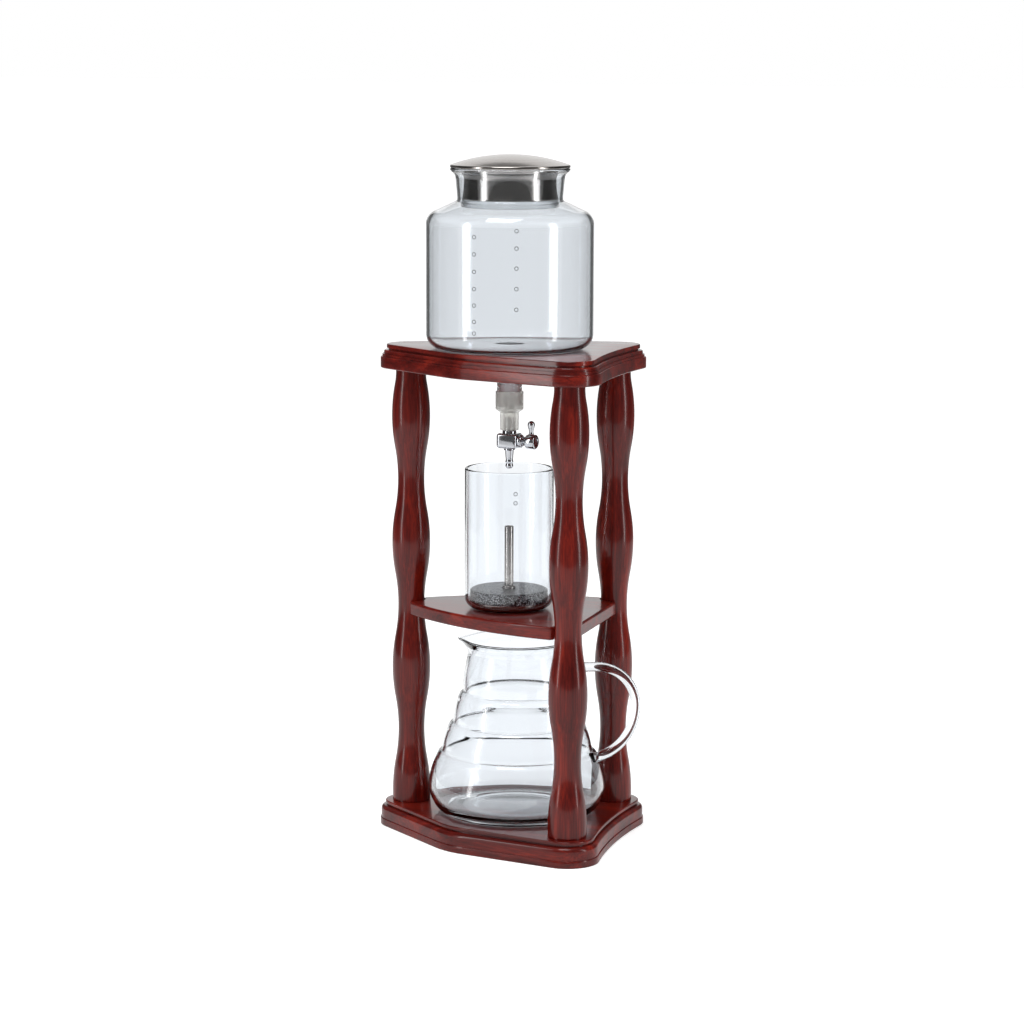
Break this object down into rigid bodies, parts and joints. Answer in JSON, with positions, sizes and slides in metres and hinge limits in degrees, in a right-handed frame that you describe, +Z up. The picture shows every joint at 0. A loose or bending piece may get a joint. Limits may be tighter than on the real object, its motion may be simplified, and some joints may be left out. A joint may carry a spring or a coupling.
{
  "type": "cold drip coffee tower",
  "caption": "Wooden stand with wavy turned posts that holds a lidded glass water jar with a drip tap, a glass dripper with a steel filter and a glass carafe.",
  "frame": {"origin": "centre of the circle through the three posts, on the underside of the base", "axes": "+Z up; -X from the centre to the left post; +Y towards the back"},
  "size_m": [0.2083, 0.1701, 0.5167],
  "materials": {
    "stained_wood": "semi-gloss mahogany stain",
    "pale_wood": "plain beech",
    "plated_steel": "zinc plated",
    "clear_glass": "clear borosilicate",
    "spun_steel": "spun and brushed",
    "steel_mesh": "fine etched mesh",
    "clear_silicone": "clear silicone",
    "milky_silicone": "milky translucent silicone",
    "white_plastic": "low-friction sealing plastic",
    "bright_chrome": "polished"
  },
  "bodies": {
    "frame": {"base_plate": "stained_wood", "top_plate": "stained_wood", "middle_shelf": "stained_wood", "post_left": "stained_wood", "post_front": "stained_wood", "post_right": "stained_wood", "base_screws": "plated_steel", "shelf_dowels": "pale_wood"},
    "jar": {"water_jar": "clear_glass"},
    "lid": {"lid_cap": "spun_steel", "lid_sleeve": "spun_steel", "lid_seal": "clear_silicone"},
    "valve": {"silicone_joint": "milky_silicone", "valve_block": "bright_chrome", "valve_inlet": "bright_chrome", "valve_nozzle": "bright_chrome", "packing_nut": "bright_chrome", "packing_washer": "white_plastic"},
    "lever": {"valve_plug": "bright_chrome", "lever_hub": "bright_chrome", "valve_lever": "bright_chrome"},
    "dripper": {"drip_tube": "clear_glass"},
    "filter": {"filter_mesh": "steel_mesh", "filter_pan_ring": "spun_steel", "filter_stem": "spun_steel", "filter_collar": "spun_steel"},
    "carafe": {"carafe_glass": "clear_glass"}
  },
  "joints": [
    {"name": "jar_lift", "type": "slide", "parent": "frame", "child": "jar", "axis": [0, 0, 1], "range_m": [0, 0.012]},
    {"name": "lid_lift", "type": "slide", "parent": "jar", "child": "lid", "axis": [0, 0, 1], "range_m": [0, 0.04]},
    {"name": "valve_pull", "type": "slide", "parent": "jar", "child": "valve", "axis": [0, 0, -1], "range_m": [0, 0.012]},
    {"name": "lever_turn", "type": "hinge", "parent": "valve", "child": "lever", "pos_m": [-0.004, 0, 0.3032], "axis": [1, 0, 0], "range_deg": [0, 90]},
    {"name": "dripper_lift", "type": "slide", "parent": "frame", "child": "dripper", "axis": [0, 0, 1], "range_m": [0, 0.018]},
    {"name": "filter_lift", "type": "slide", "parent": "dripper", "child": "filter", "axis": [0, 0, 1], "range_m": [0, 0.014]},
    {"name": "carafe_slide", "type": "slide", "parent": "frame", "child": "carafe", "axis": [-0.3173, -0.9483, 0], "range_m": [0, 0.045]}
  ]
}
